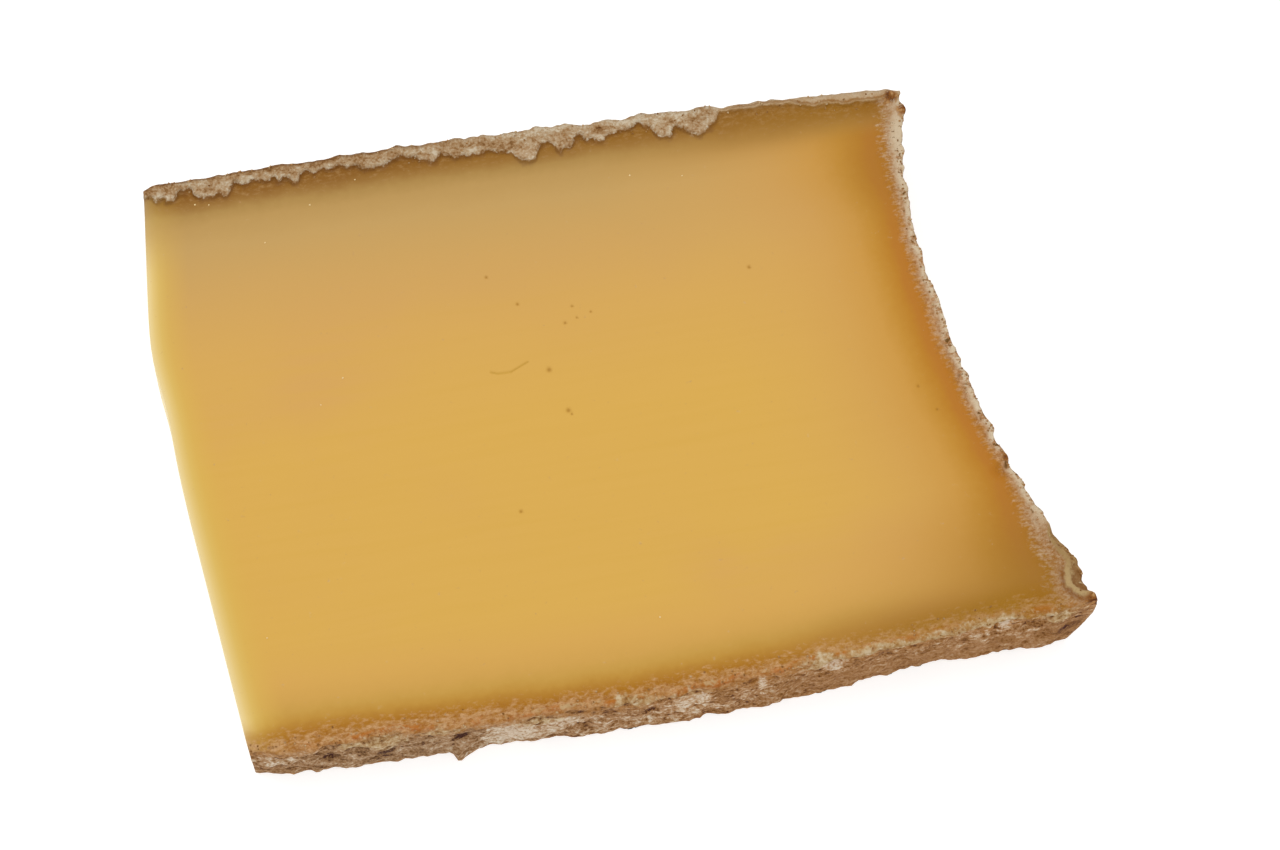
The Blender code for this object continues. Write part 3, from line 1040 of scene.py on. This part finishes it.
def corner_colour(graph, colour, uneven, grain):
    """The fold at the front corner of the heel with painted shadow under its tongue, the pitted slope
    outside it, and the knobs.
    """
    pitted = graph.mixed_in(uneven, grain, 0.9)
    slope = graph.shades(pitted, (
        (0.24, srgb(110, 78, 48)),
        (0.36, srgb(148, 114, 74)),
        (0.55, srgb(164, 130, 88)),
        (0.75, srgb(180, 152, 108)),
    ))
    colour = graph.mix(graph.told("slope"), colour, slope)
    # Painted shadow: a dark brown strip just inside the wide end of the fold, under its tongue.
    shadow_under_lip = graph.times(graph.told("tongue"), graph.step(graph.told("heel_band"), 1.6, 0.7))
    colour = graph.tinted(colour, srgb(124, 80, 42), shadow_under_lip, 0.55)
    lip = graph.step(graph.mixed_in(graph.told("lip"), pitted, 1.0), 0.3, 0.95)
    lip_colour = graph.mix(graph.told("tongue"), srgb(172, 142, 98), srgb(186, 158, 114))
    colour = graph.mix(lip, colour, lip_colour)
    knobby = graph.shades(pitted, (
        (0.30, srgb(104, 68, 42)),
        (0.50, srgb(148, 100, 60)),
        (0.70, srgb(186, 144, 98)),
    ))
    knob = graph.step(graph.mixed_in(graph.told("knob"), pitted, 1.2), 0.25, 0.7)
    return graph.mix(knob, colour, knobby)


def side_colour(graph, outside, uneven, grain):
    """The outer faces of the rind: brown and fibrous, with whitish blooms, painted shade in the hollows
    and where the face sinks in, and darker patches on the back and heel.
    """
    axes = graph.node("ShaderNodeSeparateXYZ", {0: graph.place}).outputs
    fibrous = {"detail": 5.0, "roughness": 0.72, "distortion": 0.6}
    fibres = graph.noise(1.5, 13.0, stretch=(0.5, 1.0, 1.1), **fibrous)
    value = graph.mixed_in(graph.mixed_in(fibres, uneven, 0.5), grain, 0.8)
    calm = graph.times(graph.step(axes["X"], *CALM_PLACES), graph.step(axes["Z"], *CALM_HEIGHTS))
    excess = graph.times(graph.minus(value, 0.5), graph.times(calm, CALM_SHARE))
    # Painted shade: the outer face is lighter where its lumps stand out and darker where it sinks in.
    value = graph.plus(graph.minus(value, excess), graph.times(graph.told("lump"), 0.06))
    bloom = graph.step(graph.mixed_in(graph.told("bloom"), uneven, 1.6), 0.15, 0.8)
    value = graph.plus(value, graph.times(bloom, 0.20))
    # Painted shade in the front's hollows, the tab's shadow among them; on the back and the heel the
    # same darkening gives noise patches of darker rind.
    hollow = graph.step(graph.mixed_in(graph.told("hollow"), uneven, 1.2), 0.2, 0.8)
    value = graph.minus(value, graph.times(hollow, 0.24))
    brown = graph.shades(value, (
        (0.26, srgb(84, 56, 34)),
        (0.37, srgb(130, 90, 56)),
        (0.49, srgb(160, 117, 77)),
        (0.62, srgb(180, 140, 102)),
        (0.75, srgb(204, 178, 148)),
        (0.90, srgb(224, 208, 186)),
    ))
    grey = graph.shades(value, (
        (0.26, srgb(80, 58, 42)),
        (0.37, srgb(124, 96, 70)),
        (0.49, srgb(156, 124, 93)),
        (0.62, srgb(180, 152, 122)),
        (0.75, srgb(204, 186, 162)),
        (0.90, srgb(226, 216, 200)),
    ))
    colour = graph.mix(graph.told("grey"), brown, grey)
    upper = graph.times(graph.step(outside, 7.0, 1.0), graph.step(axes["Z"], *ORANGE_HEIGHTS))
    orange = graph.times(upper, graph.step(uneven, 0.36, 0.60))
    return graph.tinted(colour, srgb(176, 120, 58), orange, ORANGE_SHARE)


def crest_colour(graph, colour, uneven, grain):
    """The crests along the front's upper edge, cream with dark grains, and the whitest blooms."""
    shown = graph.step(graph.mixed_in(graph.told("crest"), uneven, 1.8), 0.35, 0.95)
    crests = graph.shades(graph.mixed_in(uneven, grain, 0.8), (
        (0.26, srgb(132, 96, 58)),
        (0.40, srgb(170, 134, 90)),
        (0.54, srgb(192, 164, 124)),
        (0.72, srgb(212, 194, 162)),
    ))
    colour = graph.tinted(colour, crests, shown, 0.85)
    white = graph.step(graph.mixed_in(graph.told("bloom"), grain, 2.4), 0.75, 1.35)
    return graph.tinted(colour, srgb(222, 204, 182), white, 0.7)


def cheese_material():
    """Paste, cut rinds and outer faces, laid over each other, each with an uneven border."""
    graph = Graph("cheese_paste_and_rind")
    broad, uneven = graph.noise(9.0, 0.0), graph.noise(1.6, 20.0, detail=3.0)
    grain = graph.noise(0.6, 15.0, detail=4.0, roughness=0.6)
    front, front_band, back, heel = [
        graph.mixed_in(graph.mixed_in(graph.told(name), broad, broad_share), uneven, uneven_share)
        for name, broad_share, uneven_share in (
            ("from_front", 1.8, 1.4),
            ("front_band", 1.8, 1.4),
            ("from_back", 1.8, 1.2),
            ("heel_band", 1.6, 1.6),
        )
    ]
    ragged = graph.minus(1.0, graph.times(graph.told("smooth_back"), 0.7))
    crust = graph.mixed_in(graph.told("crust"), uneven, graph.times(ragged, 1.2))
    crust = graph.mixed_in(crust, grain, graph.times(ragged, 0.9))
    outside = graph.mixed_in(graph.mixed_in(graph.told("outside"), uneven, 1.8), grain, 1.4)
    colour = paste_colour(graph, front_band, back, heel, graph.told("from_cut"))
    brown = graph.told("brown")
    colour = graph.tinted(colour, srgb(158, 116, 49), brown, 0.7)
    colour = cut_rind_colour(graph, colour, front, back, heel, uneven)
    colour = graph.tinted(colour, srgb(156, 111, 54), brown, 0.4)
    colour = back_edge_colour(graph, colour, crust, grain)
    colour = corner_colour(graph, colour, uneven, grain)
    rind = side_colour(graph, outside, uneven, grain)
    colour = graph.mix(graph.step(outside, 0.0, 0.5), colour, rind)
    colour = crest_colour(graph, colour, uneven, grain)
    ridge = graph.step(graph.mixed_in(graph.told("ridge"), grain, 1.6), 0.6, 1.05)
    colour = graph.tinted(colour, srgb(200, 176, 134), ridge, 0.6)
    # Painted shade: the small holes and the crack are darkened as the shade inside them would be.
    colour = graph.tinted(colour, srgb(172, 124, 56), graph.told("hole"), 0.8)
    colour = graph.tinted(colour, srgb(190, 150, 54), graph.told("crack"), 0.5)

    dry = graph.told("dry")
    roughness = graph.plus(graph.times(dry, DRY_ROUGHNESS - MOIST_ROUGHNESS), MOIST_ROUGHNESS)
    height = graph.times(grain, graph.math("MAXIMUM", dry, MOIST_BUMPS))
    bumps = graph.node("ShaderNodeBump", {"Height": height, "Distance": BUMP_REACH, "Strength": 1.0})
    return graph.surface({
        "Base Color": colour,
        "Roughness": roughness,
        "Normal": bumps.outputs["Normal"],
        "Specular IOR Level": SHINE,
    })


def add_grains(name, places, sizes, material):
    """Small angular grains at these places of the surface, as one piece."""
    shape = bmesh.new()
    for place in places:
        size = Vector([random.uniform(*sizes) for _ in range(3)])
        turn = Euler([random.uniform(0.0, math.tau) for _ in range(3)])
        matrix = Matrix.LocRotScale(place, turn, size)
        bmesh.ops.create_icosphere(shape, subdivisions=1, radius=1.0, matrix=matrix)
    mesh = bpy.data.meshes.new(name)
    shape.to_mesh(mesh)
    shape.free()
    mesh.materials.append(material)
    piece = bpy.data.objects.new(name, mesh)
    bpy.context.scene.collection.objects.link(piece)
    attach(piece, "root")


def crumb_places():
    """Places on the upper face along its rinds, most of them close to the outer faces."""
    length, width, height = NOMINAL_SIZE
    for i in range(CRUMB_COUNT):
        along = random.random()
        inward = min(random.expovariate(1.0 / CRUMB_INWARD), CRUMB_FARTHEST)
        in_box = (
            Vector((along * length, width - inward, height)),
            Vector((length - HEEL_CRUMBS_INWARD * inward, along * width, height)),
            Vector((along * length, inward, height)),
        )[i % 3]
        yield Spot(in_box).place


def crumb_material():
    graph = Graph("rind_crumbs")
    colour = graph.shades(graph.noise(2.0, 31.0), (
        (0.38, srgb(136, 98, 62)),
        (0.50, srgb(170, 130, 88)),
        (0.62, srgb(196, 170, 132)),
    ))
    return graph.surface({
        "Base Color": colour,
        "Roughness": DRY_ROUGHNESS,
        "Specular IOR Level": SHINE,
    })


def crystal_material():
    return Graph("pale_crystals").surface({
        "Base Color": srgb(240, 214, 160),
        "Roughness": CRYSTAL_ROUGHNESS,
        "Specular IOR Level": SHINE,
    })


# The floor is a little lower than the slice's underside, so that the two don't lie in one plane.
WHITE = (1.0, 1.0, 1.0, 1.0)
FLOOR_SIZE = 6.0
FLOOR_GAP = 0.05 * MM
FLOOR_COLOUR = (0.55, 0.55, 0.55, 1.0)
FLOOR_ROUGHNESS = 0.9
FLOOR_GLOW = 0.65
SKY_STRENGTH = 0.85
LAMP_SIZE = 1.2
LAMP_PLACE = Vector((-0.2, 0.35, 1.1))
LAMP_POWER = 4.0

CAMERA_LENS = 100.0
CAMERA_TARGET = Vector((0.0079, -0.0030, 0.0100))
CAMERA_DISTANCE = 0.7719
CAMERA_AZIMUTH = math.radians(-9.6)
CAMERA_ELEVATION = math.radians(70.0)


def ground_material():
    """The pale ground, which glows a little, as a lit table does."""
    return Graph("white_ground").surface({
        "Base Color": FLOOR_COLOUR,
        "Roughness": FLOOR_ROUGHNESS,
        "Emission Color": WHITE,
        "Emission Strength": FLOOR_GLOW,
    })


def add_floor():
    bpy.ops.mesh.primitive_plane_add(size=FLOOR_SIZE, location=(0.0, 0.0, -FLOOR_GAP))
    floor = bpy.context.object
    floor.name = "floor"
    floor.data.materials.append(ground_material())


def add_lights():
    world = bpy.data.worlds.new("white_room")
    world.use_nodes = True
    sky = world.node_tree.nodes["Background"]
    sky.inputs["Color"].default_value = WHITE
    sky.inputs["Strength"].default_value = SKY_STRENGTH
    bpy.context.scene.world = world
    lamp = bpy.data.lights.new("soft_lamp", "AREA")
    lamp.size = LAMP_SIZE
    lamp.energy = LAMP_POWER
    holder = bpy.data.objects.new("soft_lamp", lamp)
    holder.location = LAMP_PLACE
    holder.rotation_euler = (-LAMP_PLACE).to_track_quat("-Z", "Y").to_euler()
    bpy.context.scene.collection.objects.link(holder)


def add_camera():
    across = math.cos(CAMERA_ELEVATION)
    back = Vector((
        math.sin(CAMERA_AZIMUTH) * across,
        -math.cos(CAMERA_AZIMUTH) * across,
        math.sin(CAMERA_ELEVATION),
    ))
    lens = bpy.data.cameras.new("camera")
    lens.lens = CAMERA_LENS
    camera = bpy.data.objects.new("camera", lens)
    camera.location = CAMERA_TARGET + back * CAMERA_DISTANCE
    camera.rotation_euler = back.to_track_quat("Z", "Y").to_euler()
    bpy.context.scene.collection.objects.link(camera)
    bpy.context.scene.camera = camera


body = cheese_body()
body.data.materials.append(cheese_material())
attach(body, "root")
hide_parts("cheese_slice")
random.seed(CRUMB_SEED)
add_grains("rind_crumbs", crumb_places(), CRUMB_SIZES, crumb_material())
crystal_places = [Spot(nominal_place(Vector(place) * MM)).place for place in CRYSTALS]
add_grains("paste_crystals", crystal_places, CRYSTAL_SIZES, crystal_material())
add_floor()
add_lights()
add_camera()
bpy.context.scene.view_settings.view_transform = "Standard"
